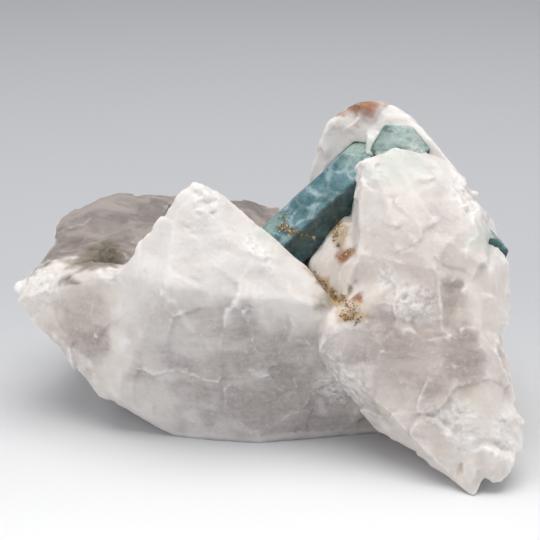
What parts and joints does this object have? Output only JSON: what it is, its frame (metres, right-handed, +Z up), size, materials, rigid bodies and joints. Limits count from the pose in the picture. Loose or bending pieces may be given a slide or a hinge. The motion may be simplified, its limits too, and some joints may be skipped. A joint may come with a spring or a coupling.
{
  "type": "aquamarine crystals in milky quartz",
  "caption": "Hand-sized mineral specimen: a broken block of milky quartz with hexagonal blue-green aquamarine crystals bedded in it, resting on its flat underside.",
  "frame": {"origin": "under the middle of the specimen, on the surface that it rests on", "axes": "+X to the right along the specimen's length, +Y away from the side that shows the crystals, +Z up"},
  "size_m": [0.1366, 0.1138, 0.0831],
  "materials": {
    "quartz": "broken milky quartz, translucent, waxy to glassy, with grey weathering and rusty stains",
    "aquamarine": "cloudy blue-green beryl with white veils, glassy prism faces"
  },
  "bodies": {
    "root": {"quartz_matrix": "quartz", "aquamarine_long": "aquamarine", "aquamarine_crest": "aquamarine", "aquamarine_side": "aquamarine"}
  },
  "joints": []
}
